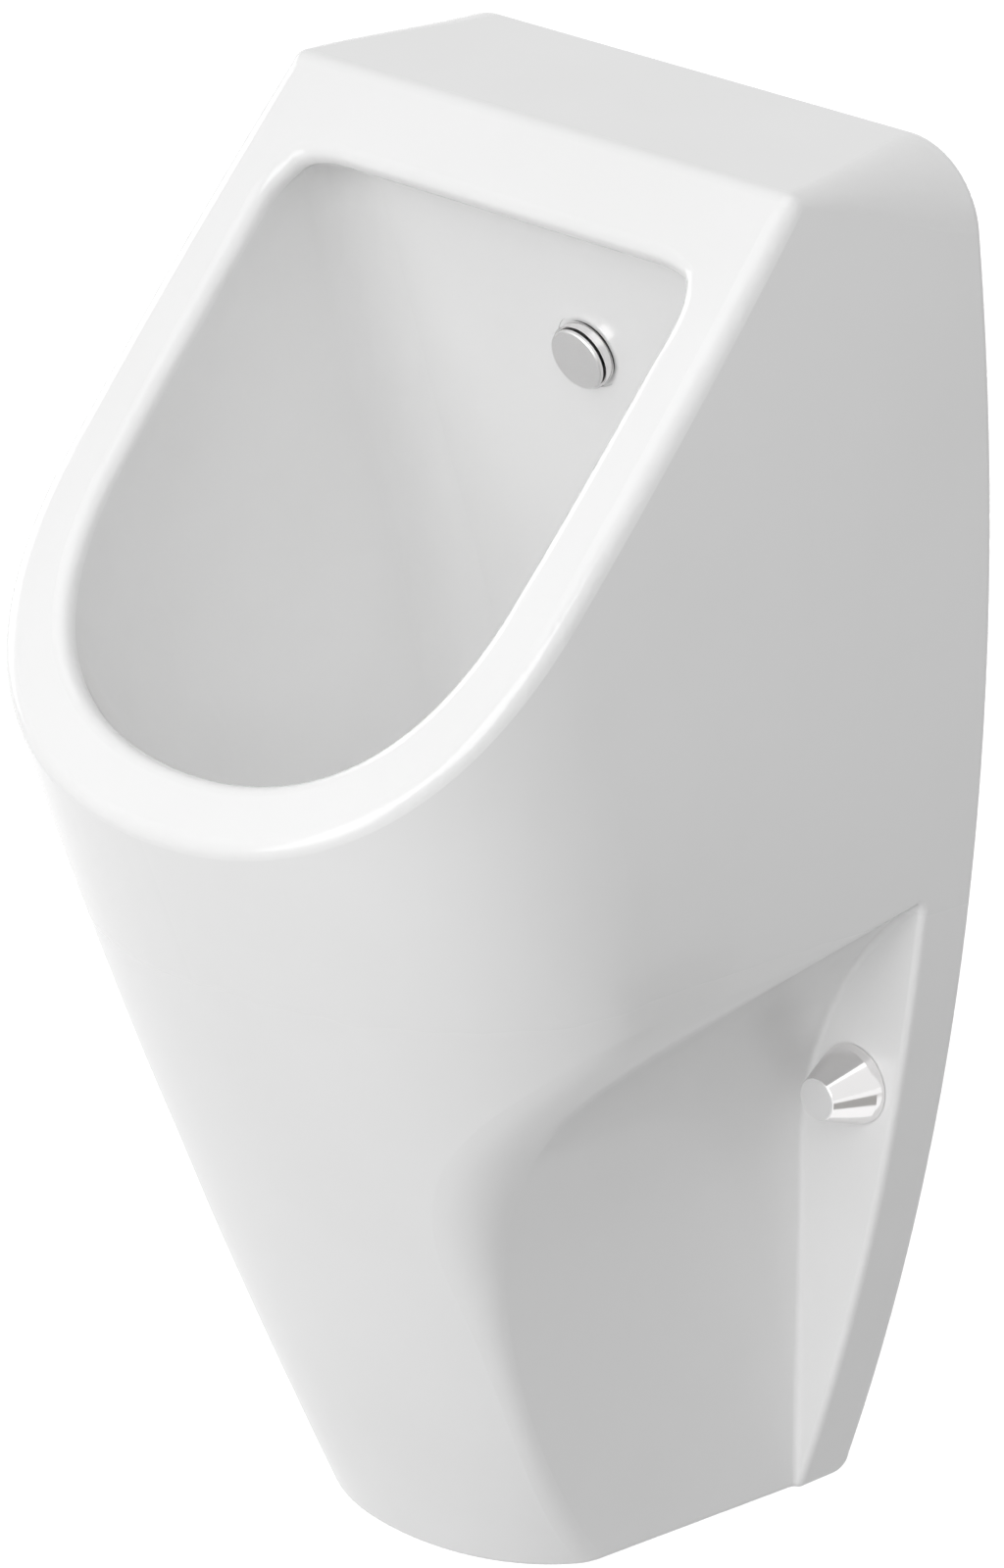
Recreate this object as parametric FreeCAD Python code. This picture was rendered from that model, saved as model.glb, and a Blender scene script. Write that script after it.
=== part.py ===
import FreeCAD, Part
import math
import os
from FreeCAD import Vector

# A wall-hung urinal of glazed china, with its spray head, trap and fixings.
# Millimetres. X runs to the right of someone who faces it, Y into the wall, Z up.
# Levels below are heights above the foot of the china. The row's origin is on the wall
# plane, midway between the two fixing studs, so each solid is lowered when it is saved.

# Outer form of the china
body_height = 564.4
body_width = 305.0
belly_drop = 179.0
foot_narrowing = 65.4
side_draft_deg = 5.0
foot_draft_deg = 3.5
foot_tip_reach = 164.5
foot_side_length = 93.0
lip_reach = 297.0
lip_drop = 225.0
lip_side_length = 182.0
nose_fullness_share = 0.6
top_depth = 90.0
china_wall = 12.0
skin_level_shares = (0, 0.25, 0.5, 0.75, 1)

# Side scoops that leave a stem and a wall flange
flange_thickness = 26.5
stem_inset = 68.5
stem_height = 150.0
stem_draft_deg = 6.9
upper_stem_draft_deg = 1.0
scoop_ceiling_radius = 155.0
scoop_ceiling_fall_deg = 1.5
scoop_corner_radius = 2.5

# Rounding of the china
rim_edge_radius = 8.0
top_front_corner_radius = 6.0
top_wall_corner_radius = 36.0
stem_ridge_radius = 17.0
ceiling_ridge_radius = 48.0
ridge_run = 110.0
ridge_rise = 110.0
flange_edge_radius = 3.0
foot_edge_radius = 3.0
foot_wall_radius = 7.0
opening_edge_radius = 6.0

# Bowl
rim_top_width = 45.0
rim_side_width = 28.5
rim_lip_width = 20.0
bowl_corner_radius = 22.0
bowl_ceiling_turn_height = 18.0
bowl_ceiling_turn_width = 26.0
bowl_rear_inset = 32.5
bowl_floor_height = 232.4
bowl_floor_radius = 40.0
bowl_floor_corner_share = 0.8
bowl_full_drop = 130.0
bowl_steps = 8
bowl_ceiling_steps = 6
upper_bowl_shares = (0.35, 0.7, 1)
corner_handle_share = 0.55
outlet_distance = 120.0
rear_tilt_deg = 17.0
spray_drop = 97.7
spray_distance = 61.8

# Hollows in the back of the china
lower_hollow_floor = 14.4
lower_hollow_top = 264.4
upper_hollow_drop = 185.0
upper_hollow_inset = 30.5
upper_hollow_top_wall = 30.0
upper_hollow_corner_radius = 8.0

# Spray head and water inlet, along the tilted axis of its hole
seat_recess = 0.5
seat_recess_radius = 15.5
inlet_hole_radius = 11.5
spray_seal_radius = 13.0
spray_seal_thickness = 1.2
spray_collar_radius = 13.6
spray_collar_length = 4.0
spray_collar_wall = 2.2
spray_collar_floor = 1.4
spray_slit = 0.8
spray_disc_radius = 12.7
spray_disc_thickness = 1.6
spray_disc_bevel = 0.5
spray_hub_radius = 4.6
spray_hub_length = 8.0
spray_spindle_radius = 2.6
spray_spindle_length = 7.0
spray_rib_width = 2.4
spray_rib_count = 3
shank_radius = 10.4
shank_bore_radius = 7.5
shank_length = 40.0
inlet_washer_radius = 18.0
inlet_washer_thickness = 2.5
locknut_across_flats = 30.0
locknut_thickness = 8.0
union_seal_thickness = 2.0
union_nut_across_flats = 30.0
union_nut_length = 18.0
union_nut_lip = 3.0
inlet_pipe_radius = 9.0
inlet_pipe_bore_radius = 6.5
inlet_pipe_collar_thickness = 3.0
inlet_pipe_bend_radius = 40.0
inlet_pipe_run = 7.0
inlet_pipe_into_wall = 30.0

# Outlet, strainer and trap
outlet_bore_radius = 22.0
outlet_spigot_radius = 30.0
outlet_spigot_length = 30.0
strainer_radius = 33.0
strainer_thickness = 2.0
strainer_flat_width = 6.0
strainer_crown = 4.0
strainer_hole_radius = 3.2
strainer_ring_shares = (0.36, 0.66)
strainer_ring_counts = (6, 12)
strainer_knob_radius = 5.0
strainer_knob_waist_radius = 3.4
strainer_knob_height = 9.0
strainer_knob_head = 3.5
strainer_recess = 3.0
strainer_play = 0.6
outlet_seal_wall = 5.0
outlet_seal_flange = 4.0
outlet_seal_flange_radius = 42.0
trap_wall = 3.0
trap_tube_radius = 23.0
trap_socket_floor = 4.0
trap_leg_length = 62.0
trap_bend_radius = 45.0
trap_rise = 22.0
trap_outlet_bend_radius = 32.0
waste_radius = 25.0
waste_length = 43.0
waste_chamfer = 3.0
plug_boss_radius = 17.0
plug_boss_length = 10.0
plug_bore_radius = 12.0
plug_head_radius = 17.0
plug_head_length = 8.0
plug_grip_width = 8.0
plug_grip_length = 6.0
plug_shank_length = 9.0
plug_seal_thickness = 2.0

# Lower fixings behind the cover caps
fixing_rise = 36.0
fixing_inset = 41.5
fixing_hole_radius = 7.0
stud_radius = 4.0
stud_out = 14.0
stud_wall_radius = 4.5
stud_wall_gap = 2.0
stud_into_wall = 18.0
stud_point = 1.5
stud_tip_radius = 3.2
carrier_thickness = 2.0
carrier_collar_wall = 1.8
carrier_collar_length = 5.0
stud_washer_radius = 8.5
stud_washer_thickness = 1.6
stud_nut_across_flats = 13.0
stud_nut_thickness = 6.5
cap_radius = 16.5
cap_rim_length = 4.0
cap_shoulder_radius = 15.6
cap_front_radius = 8.7
cap_length = 21.5
cap_wall = 1.5
cap_front_bevel = 0.5

# Hanger brackets at the top of the back
bracket_half_spacing = 75.0
bracket_width = 28.0
bracket_thickness = 3.0
bracket_drop = 65.0
bracket_leg = 33.0
bracket_bend_radius = 3.0
bracket_hole_radius = 3.2
bracket_hole_drops = (22.0, 50.0)
pad_thickness = 2.0
pocket_top_wall = 16.0
pocket_side_gap = 4.0
pocket_end_gap = 5.0
screw_radius = 2.5
screw_head_across_flats = 10.0
screw_head_height = 4.0
screw_collar_radius = 6.5
screw_collar_thickness = 1.0
screw_into_wall = 45.0
screw_point = 6.0
screw_tip_radius = 0.6

# Clearances
fit_gap = 0.2
cap_gap = 0.3
overrun = 20.0
touch = 0.02

# Worked out from the sizes above
rear_slope = math.tan(math.radians(rear_tilt_deg))
stem_draft = math.tan(math.radians(stem_draft_deg))
upper_stem_draft = math.tan(math.radians(upper_stem_draft_deg))
scoop_ceiling_fall = math.tan(math.radians(scoop_ceiling_fall_deg))
belly_height = body_height - belly_drop
lip_height = body_height - lip_drop
bowl_full_height = body_height - bowl_full_drop
wall_outline_radius = (belly_height ** 2 + foot_narrowing ** 2) / (foot_narrowing * 2)
stem_half_width = body_width / 2 - stem_inset
bowl_rear_half_width = body_width / 2 - bowl_rear_inset
upper_hollow_half_width = body_width / 2 - upper_hollow_inset
upper_hollow_floor = body_height - upper_hollow_drop
fixing_half_spacing = body_width / 2 - fixing_inset
fixing_height = stem_height + fixing_rise
rim_run = lip_reach - top_depth
rim_fall = body_height - lip_height
rim_length = math.hypot(rim_run, rim_fall)
bowl_ceiling_height = body_height - rim_top_width * rim_fall / rim_length
spray_height = body_height - spray_drop
far = body_width + body_height
x_axis = Vector(1, 0, 0)
y_axis = Vector(0, 1, 0)
z_axis = Vector(0, 0, 1)
spray_axis = Vector(0, -math.cos(math.radians(rear_tilt_deg)), -math.sin(math.radians(rear_tilt_deg)))
spray_seat = Vector(0, -spray_distance, spray_height) - spray_axis * seat_recess
spigot_top = bowl_floor_height - china_wall
spigot_end = spigot_top - outlet_spigot_length
seat_ring_level = bowl_floor_height - strainer_recess
sides = (-1, 1)


def polygon_face(points):
    """A flat face with the given corners."""
    return Part.Face(Part.makePolygon(points + points[:1]))


def line(start, end):
    """A straight edge."""
    return Part.LineSegment(start, end).toShape()


def arc(start, middle, end):
    """A round edge through three points."""
    return Part.Arc(start, middle, end).toShape()


def bezier(*poles):
    """A smooth edge that its poles draw."""
    curve = Part.BezierCurve()
    curve.setPoles(list(poles))
    return curve.toShape()


def mirrored(point):
    """The same place on the other side of the middle."""
    return Vector(-point.x, point.y, point.z)


def aim(shape, base, axis):
    """Move a shape made on the Z axis so that it stands at base and points along axis."""
    placed = shape.copy()
    placed.Placement = FreeCAD.Placement(base, FreeCAD.Rotation(z_axis, axis))
    return placed


def disc(radius, length, base, axis):
    """A round bar from base along axis."""
    return Part.makeCylinder(radius, length, base, axis)


def ring(outer, inner, length, base, axis):
    """A round tube from base along axis."""
    return disc(outer, length, base, axis).cut(disc(inner, length, base, axis))


def turned(profile, base, axis):
    """Revolve (radius, distance) corners about axis from base."""
    points = [Vector(radius, 0, distance) for radius, distance in profile]
    solid = polygon_face(points).revolve(Vector(0, 0, 0), z_axis, 360)
    return aim(solid, base, axis)


def hexagon(across_flats, length, base, axis):
    """A hexagonal bar from base along axis, with its corners turned round at both ends."""
    corner = across_flats / math.sqrt(3)
    points = []
    for step in range(6):
        turn = math.radians(60 * step)
        points.append(Vector(corner * math.cos(turn), corner * math.sin(turn), 0))
    bar = polygon_face(points).extrude(z_axis * length)
    flat = across_flats / 2
    drop = (corner - flat) / math.sqrt(3)
    profile = [(0, 0), (flat, 0), (corner, drop), (corner, length - drop), (flat, length), (0, length)]
    bar = bar.common(turned(profile, Vector(0, 0, 0), z_axis))
    return aim(bar, base, axis)


def pipe(edges, radius):
    """A round bar along a path of straight and round edges."""
    path = Part.Wire(edges)
    first = edges[0]
    start = first.valueAt(first.FirstParameter)
    heading = first.tangentAt(first.FirstParameter)
    section = Part.Wire(Part.makeCircle(radius, start, heading))
    return path.makePipeShell([section], True, False)


def along_spray(distance):
    """A point on the spray axis, counted from the seat into the bowl."""
    return spray_seat + spray_axis * distance


def edges_on(shape, *surfaces):
    """The edges of a shape whose ends and middle lie on all the given surfaces."""
    chosen = []
    for edge in shape.Edges:
        points = [Part.Vertex(point) for point in edge.discretize(Number=3)]
        if all(surface.distToShape(point)[0] < touch for surface in surfaces for point in points):
            chosen.append(edge)
    return chosen


def round_edges(shape, edges, radius_at):
    """Round edges with a radius that changes evenly between their ends."""
    document = FreeCAD.newDocument()
    base = document.addObject("Part::Feature")
    base.Shape = shape
    fillet = document.addObject("Part::Fillet")
    fillet.Base = base
    chosen = []
    for number, edge in enumerate(shape.Edges, 1):
        if any(edge.isSame(other) for other in edges):
            start = edge.valueAt(edge.FirstParameter)
            end = edge.valueAt(edge.LastParameter)
            chosen.append((number, radius_at(start), radius_at(end)))
    fillet.Edges = chosen
    document.recompute()
    rounded = fillet.Shape.copy()
    FreeCAD.closeDocument(document.Name)
    return rounded


# Outer form of the china

def wall_half_width(level):
    """Half the width where the china meets the wall: an arc about the belly."""
    fall = level - belly_height
    return body_width / 2 - wall_outline_radius + math.sqrt(wall_outline_radius ** 2 - fall ** 2)


def side_draft(level):
    """How much the sides close in towards the front: a little at the foot, more from the lip up."""
    share = min(level / lip_height, 1)
    return math.tan(math.radians(foot_draft_deg + (side_draft_deg - foot_draft_deg) * share))


def nose_values(level):
    """Where the straight side ends and how far the nose reaches, at a level."""
    share = level / lip_height
    side = foot_side_length + (lip_side_length - foot_side_length) * share
    tip = foot_tip_reach + (lip_reach - foot_tip_reach) * share
    return side, tip


def nose_curves(half, draft, side, tip, level):
    """The right and left halves of a round nose."""
    reach = nose_fullness_share * (tip - side)
    start = Vector(half, -side, level)
    first = Vector(half - draft * reach, -side - reach, level)
    second = Vector(nose_fullness_share * half, -tip, level)
    end = Vector(0, -tip, level)
    right = bezier(start, first, second, end)
    left = bezier(end, mirrored(second), mirrored(first), mirrored(start))
    return right, left


def skin_section(level, inset, back):
    """Outline of the china at a level, drawn in by inset and carried back past the wall."""
    half = wall_half_width(level) - inset
    side, tip = nose_values(level)
    draft = side_draft(level)
    wall_corner = Vector(half + draft * back, back, level)
    side_end = Vector(half - draft * side, -side, level)
    right, left = nose_curves(side_end.x, draft, side, tip - inset, level)
    edges = [
        line(wall_corner, side_end),
        right,
        left,
        line(mirrored(side_end), mirrored(wall_corner)),
        line(mirrored(wall_corner), wall_corner),
    ]
    return Part.Wire(edges)


def skin(inset, back, bottom, top):
    """The tapering outer form between two levels."""
    sections = []
    for share in skin_level_shares:
        sections.append(skin_section(bottom + (top - bottom) * share, inset, back))
    return Part.makeLoft(sections, True, False)


def above_rim():
    """All that lies over the slanting rim face."""
    top = Vector(-far, -top_depth, body_height)
    slope = Vector(0, -rim_run, -rim_fall)
    points = [top - slope, top + slope * 2, top + slope * 2 + z_axis * far, top - slope + z_axis * far]
    return polygon_face(points).extrude(x_axis * (far * 2))


def behind_wall():
    """All that lies behind the wall plane."""
    return Part.makeBox(far * 2, far, far * 2, Vector(-far, 0, -far))


def below_foot():
    """All that lies under the foot."""
    return Part.makeBox(far * 2, far * 2, far, Vector(-far, -far, -far))


def scoop_outline(side, inset, distance):
    """Outline of a scoop at a distance from the wall: a stem wall that bends over into a ceiling."""
    run = distance - flange_thickness
    low_across = stem_half_width - inset - stem_draft * run
    bend_across = stem_half_width - inset - upper_stem_draft * run
    bend_level = stem_height - scoop_ceiling_fall * run
    lean = math.atan2(bend_across - low_across, bend_level)
    radius = scoop_ceiling_radius + inset
    upright = math.radians(90)

    def place(across, level):
        return Vector(side * across, -distance, level)

    def on_arc(angle):
        across = bend_across + radius * (math.cos(lean) - math.cos(angle))
        return place(across, bend_level + radius * (math.sin(angle) - math.sin(lean)))

    low = place(low_across - overrun * math.tan(lean), -overrun)
    high = on_arc(upright)
    edges = [
        line(low, on_arc(lean)),
        arc(on_arc(lean), on_arc((lean + upright) / 2), high),
        line(high, place(far, high.z)),
        line(place(far, high.z), place(far, -overrun)),
        line(place(far, -overrun), low),
    ]
    return Part.Wire(edges)


def scoop(side, inset, start):
    """The hollow beside the stem, from start to past the nose."""
    outlines = [scoop_outline(side, inset, distance) for distance in (start, lip_reach + overrun)]
    return Part.makeLoft(outlines, True, True)


def rounded_scoop(side):
    """A side scoop with its inner corner rounded along the wall flange."""
    solid = scoop(side, 0, flange_thickness)
    corner = []
    for edge in solid.Edges:
        low, middle, high = edge.discretize(Number=3)
        on_flange = abs(middle.y + flange_thickness) < touch and abs(high.y - low.y) < touch
        beside_stem = abs(middle.x) < stem_half_width + scoop_ceiling_radius / 2
        if on_flange and beside_stem and abs(high.z - low.z) > touch:
            corner.append(edge)
    return solid.makeFillet(scoop_corner_radius, corner)


def ridge_radius_at(point):
    """Rounding of a scoop's outer edge: tight along the flange, fuller down the stem and fullest above."""
    run = -flange_thickness - scoop_corner_radius - point.y
    if run < touch:
        return flange_edge_radius
    rise = min(max((point.z - stem_height) / ridge_rise, 0), 1)
    full = stem_ridge_radius + (ceiling_ridge_radius - stem_ridge_radius) * rise
    return flange_edge_radius + (full - flange_edge_radius) * min(run / ridge_run, 1)


def top_radius_at(point):
    """Rounding of the top's side edges: wide at the wall, tight at the front."""
    share = -point.y / top_depth
    return top_wall_corner_radius + (top_front_corner_radius - top_wall_corner_radius) * share


def rounded_skin():
    """The outer form with its rim, foot and scoops, and its edges rounded."""
    outer = skin(0, overrun, -overrun, body_height)
    rim = above_rim()
    foot = below_foot()
    wall = behind_wall()
    solid = outer.cut(wall).cut(rim).cut(foot)
    solid = solid.makeFillet(foot_wall_radius, edges_on(solid, wall.Shells[0], foot.Shells[0]))
    ridges = []
    for side in sides:
        hollow = rounded_scoop(side)
        solid = solid.cut(hollow)
        ridges.append(hollow)
    edges = []
    for hollow in ridges:
        edges += edges_on(solid, hollow.Shells[0], outer.Shells[0])
    solid = round_edges(solid, edges, ridge_radius_at)
    top = [face for face in solid.Faces if face.CenterOfMass.z > body_height - touch]
    edges = [edge for edge in edges_on(solid, top[0]) if abs(edge.CenterOfMass.x) > body_width / 4]
    solid = round_edges(solid, edges, top_radius_at)
    solid = solid.makeFillet(rim_edge_radius, edges_on(solid, rim.Shells[0]))
    back = -foot_wall_radius - touch
    edges = [edge for edge in edges_on(solid, foot.Shells[0]) if edge.CenterOfMass.y < back]
    return solid.makeFillet(foot_edge_radius, edges)


# Bowl and hollows of the china

def rear_distance(level):
    """How far the bowl's sloping rear wall stands from the wall of the room."""
    return spray_distance + rear_slope * (level - spray_height)


def bowl_section(level, fullness, grow):
    """Outline of the bowl at a level, between the round floor and the full opening."""
    side, tip = nose_values(level)

    def blend(full, floor):
        return floor + (full - floor) * fullness

    opening = min(side, top_depth + (body_height - level) * rim_run / rim_fall)
    opening_half = wall_half_width(level) - rim_side_width - side_draft(level) * opening
    draft = (bowl_rear_half_width - opening_half) / (opening - rear_distance(level)) * fullness
    rear = blend(rear_distance(level), outlet_distance - bowl_floor_radius) - grow
    tip = blend(tip - rim_lip_width, outlet_distance + bowl_floor_radius) + grow
    half = blend(bowl_rear_half_width, bowl_floor_radius) + grow
    side = blend(side, outlet_distance)
    corner = blend(bowl_corner_radius, bowl_floor_radius * bowl_floor_corner_share) + max(grow, 0)
    handle = corner * (1 - corner_handle_share)

    def on_side(distance):
        return Vector(half - draft * (distance - rear), -distance, level)

    rear_end = Vector(on_side(rear).x - corner, -rear, level)
    rear_handle = rear_end + x_axis * (corner - handle)
    side_handle = on_side(rear + handle)
    side_start = on_side(rear + corner)
    side_end = on_side(side)
    right, left = nose_curves(side_end.x, draft, side, tip, level)
    edges = [
        line(mirrored(rear_end), rear_end),
        bezier(rear_end, rear_handle, side_handle, side_start),
        line(side_start, side_end),
        right,
        left,
        line(mirrored(side_end), mirrored(side_start)),
        bezier(mirrored(side_start), mirrored(side_handle), mirrored(rear_handle), mirrored(rear_end)),
    ]
    return Part.Wire(edges)


def bowl(grow):
    """The bowl's space with its ceiling rounded in, grown all round by grow for the outside of its wall."""
    floor = bowl_floor_height - grow
    ceiling_edge = bowl_ceiling_height - bowl_ceiling_turn_height
    sections = []
    for step in range(bowl_steps + 1):
        turn = math.radians(90 * step / bowl_steps)
        level = floor + (bowl_full_height - floor) * (1 - math.cos(turn))
        sections.append(bowl_section(level, math.sin(turn), grow))
    for share in upper_bowl_shares:
        level = bowl_full_height + (ceiling_edge - bowl_full_height) * share
        sections.append(bowl_section(level, 1, grow))
    for step in range(bowl_ceiling_steps):
        turn = math.radians(90 * (step + 1) / bowl_ceiling_steps)
        level = ceiling_edge + bowl_ceiling_turn_height * math.sin(turn)
        sections.append(bowl_section(level, 1, grow - bowl_ceiling_turn_width * (1 - math.cos(turn))))
    return Part.makeLoft(sections, True, False)


def lower_hollow():
    """The space for the trap: inside the stem, under the bowl, open to the wall."""
    space = skin(china_wall, overrun, lower_hollow_floor, lower_hollow_top)
    for side in sides:
        space = space.cut(scoop(side, china_wall, -overrun))
    space = space.cut(bowl(china_wall))
    base = Vector(0, -outlet_distance, spigot_end)
    return space.cut(disc(outlet_spigot_radius, outlet_spigot_length + china_wall, base, z_axis))


def upper_hollow():
    """The space for the water inlet behind the bowl, with a pocket for each hanger bracket."""
    top = body_height - upper_hollow_top_wall
    wall = china_wall / math.cos(math.radians(rear_tilt_deg))

    def front(level):
        return Vector(-upper_hollow_half_width, wall - rear_distance(level), level)

    low = front(upper_hollow_floor)
    high = front(top)
    points = [low, high, Vector(high.x, overrun, top), Vector(low.x, overrun, upper_hollow_floor)]
    face = polygon_face(points)
    space = face.extrude(x_axis * (upper_hollow_half_width * 2))
    inside = polygon_face([low, high, mirrored(high), mirrored(low)])
    space = space.makeFillet(upper_hollow_corner_radius, edges_on(space, inside))
    width = bracket_width + pocket_side_gap * 2
    depth = bracket_leg + pocket_end_gap
    rise = upper_hollow_top_wall - pocket_top_wall
    for side in sides:
        corner = Vector(side * bracket_half_spacing - width / 2, -depth, top - overrun)
        space = space.fuse(Part.makeBox(width, depth + overrun, rise + overrun, corner))
    return space


def fixing(side):
    """Where a fixing stud leaves the front of the wall flange."""
    return Vector(side * fixing_half_spacing, -flange_thickness, fixing_height)


def ceramic_body():
    """The glazed china body, with its bowl, hollows and holes."""
    solid = rounded_skin().cut(bowl(0))
    solid = solid.makeFillet(opening_edge_radius, opening_edges(solid))
    solid = solid.cut(lower_hollow()).cut(upper_hollow())
    outlet = Vector(0, -outlet_distance, spigot_end - overrun)
    solid = solid.cut(disc(outlet_bore_radius, bowl_floor_height - outlet.z, outlet, z_axis))
    recess = Vector(0, -outlet_distance, seat_ring_level)
    solid = solid.cut(disc(strainer_radius + strainer_play, strainer_recess, recess, z_axis))
    solid = solid.cut(disc(seat_recess_radius, overrun, along_spray(0), spray_axis))
    solid = solid.cut(disc(inlet_hole_radius, china_wall + overrun, along_spray(seat_recess), -spray_axis))
    for side in sides:
        solid = solid.cut(disc(fixing_hole_radius, flange_thickness + overrun, fixing(side), y_axis))
    return solid


def inside_rim(point):
    """Whether a point of the rim face lies inside the middle of the rim's sides."""
    middle = wall_half_width(point.z) - rim_side_width / 2
    return abs(point.x) < middle + side_draft(point.z) * point.y


def opening_edges(solid):
    """The edges of the bowl's opening in the rim face."""
    edges = []
    for edge in edges_on(solid, above_rim().Shells[0]):
        inside = all(inside_rim(point) for point in edge.discretize(Number=3))
        if inside and edge.CenterOfMass.z < bowl_ceiling_height + touch:
            edges.append(edge)
    return edges


# Spray head and water inlet

spray_collar_end = spray_seal_thickness + spray_collar_length
back_seat = seat_recess - china_wall
washer_back = back_seat - inlet_washer_thickness
locknut_back = washer_back - locknut_thickness
pipe_face = -shank_length - union_seal_thickness
pipe_collar_back = pipe_face - inlet_pipe_collar_thickness
union_back = pipe_collar_back - union_nut_lip


def spray_disc():
    """The round deflector plate, with the spindle that plugs into the hub."""
    back = spray_collar_end + spray_slit
    front = back + spray_disc_thickness
    profile = [
        (0, spray_collar_end - spray_spindle_length),
        (spray_spindle_radius, spray_collar_end - spray_spindle_length),
        (spray_spindle_radius, spray_collar_end),
        (spray_hub_radius, spray_collar_end),
        (spray_hub_radius, back),
        (spray_disc_radius, back),
        (spray_disc_radius, front - spray_disc_bevel),
        (spray_disc_radius - spray_disc_bevel, front),
        (0, front),
    ]
    return turned(profile, spray_seat, spray_axis)


def spray_body():
    """The collar and shank of the spray head, with a hub on ribs in its bore."""
    floor = spray_seal_thickness + spray_collar_floor
    inside = spray_collar_radius - spray_collar_wall
    profile = [
        (shank_bore_radius, -shank_length),
        (shank_radius, -shank_length),
        (shank_radius, spray_seal_thickness),
        (spray_collar_radius, spray_seal_thickness),
        (spray_collar_radius, spray_collar_end),
        (inside, spray_collar_end),
        (inside, floor),
        (shank_bore_radius, floor),
    ]
    solid = turned(profile, spray_seat, spray_axis)
    hub_start = spray_collar_end - spray_hub_length
    reach = (shank_radius + shank_bore_radius) / 2
    spokes = []
    for step in range(spray_rib_count):
        corner = Vector(0, -spray_rib_width / 2, hub_start)
        rib = Part.makeBox(reach, spray_rib_width, floor - hub_start, corner)
        rib.rotate(Vector(0, 0, 0), z_axis, 360 * step / spray_rib_count)
        spokes.append(rib)
    hub = disc(spray_hub_radius, spray_hub_length, Vector(0, 0, hub_start), z_axis).fuse(spokes)
    hub = hub.cut(disc(spray_spindle_radius + fit_gap, spray_hub_length, Vector(0, 0, hub_start), z_axis))
    return solid.fuse(aim(hub, spray_seat, spray_axis))


def spray_seal():
    """The flat seal between the spray head's collar and the china."""
    return ring(spray_seal_radius, shank_radius + fit_gap, spray_seal_thickness, spray_seat, spray_axis)


def inlet_washer():
    """The washer behind the china's rear wall."""
    base = along_spray(washer_back)
    return ring(inlet_washer_radius, shank_radius + fit_gap, inlet_washer_thickness, base, spray_axis)


def inlet_locknut():
    """The nut that draws the spray head against the china."""
    bar = hexagon(locknut_across_flats, locknut_thickness, along_spray(locknut_back), spray_axis)
    return bar.cut(disc(shank_radius + fit_gap, locknut_thickness, along_spray(locknut_back), spray_axis))


def inlet_union_seal():
    """The flat seal between the shank and the supply pipe."""
    return ring(shank_radius, shank_bore_radius, union_seal_thickness, along_spray(pipe_face), spray_axis)


def inlet_union_nut():
    """The union nut that holds the supply pipe's collar on the shank."""
    bar = hexagon(union_nut_across_flats, union_nut_length, along_spray(union_back), spray_axis)
    bar = bar.cut(disc(inlet_pipe_radius + fit_gap, union_nut_lip, along_spray(union_back), spray_axis))
    return bar.cut(disc(shank_radius + fit_gap, union_nut_length, along_spray(pipe_collar_back), spray_axis))


def inlet_path(lead):
    """The supply pipe's line: back along the spray axis, then level into the wall."""
    tilt = math.radians(rear_tilt_deg)
    bend = along_spray(pipe_face - inlet_pipe_run)
    centre = bend + Vector(0, math.sin(tilt), -math.cos(tilt)) * inlet_pipe_bend_radius

    def on_bend(angle):
        return centre + Vector(0, -math.sin(angle), math.cos(angle)) * inlet_pipe_bend_radius

    level = on_bend(0)
    end = Vector(0, inlet_pipe_into_wall + lead, level.z)
    return [
        line(along_spray(pipe_face + lead), bend),
        arc(bend, on_bend(tilt / 2), level),
        line(level, end),
    ]


def inlet_pipe():
    """The supply pipe with the collar that its union nut holds."""
    collar = disc(shank_radius, inlet_pipe_collar_thickness, along_spray(pipe_collar_back), spray_axis)
    solid = pipe(inlet_path(0), inlet_pipe_radius).fuse(collar)
    return solid.cut(pipe(inlet_path(overrun), inlet_pipe_bore_radius))


# Outlet, strainer and trap

socket_radius = outlet_spigot_radius + outlet_seal_wall + fit_gap
trap_start = Vector(0, -outlet_distance, spigot_end - trap_socket_floor)
trap_low = trap_start - z_axis * trap_leg_length
trap_bottom = trap_low + Vector(0, trap_bend_radius, -trap_bend_radius - trap_tube_radius)
boss_end = trap_bottom - z_axis * plug_boss_length


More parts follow.
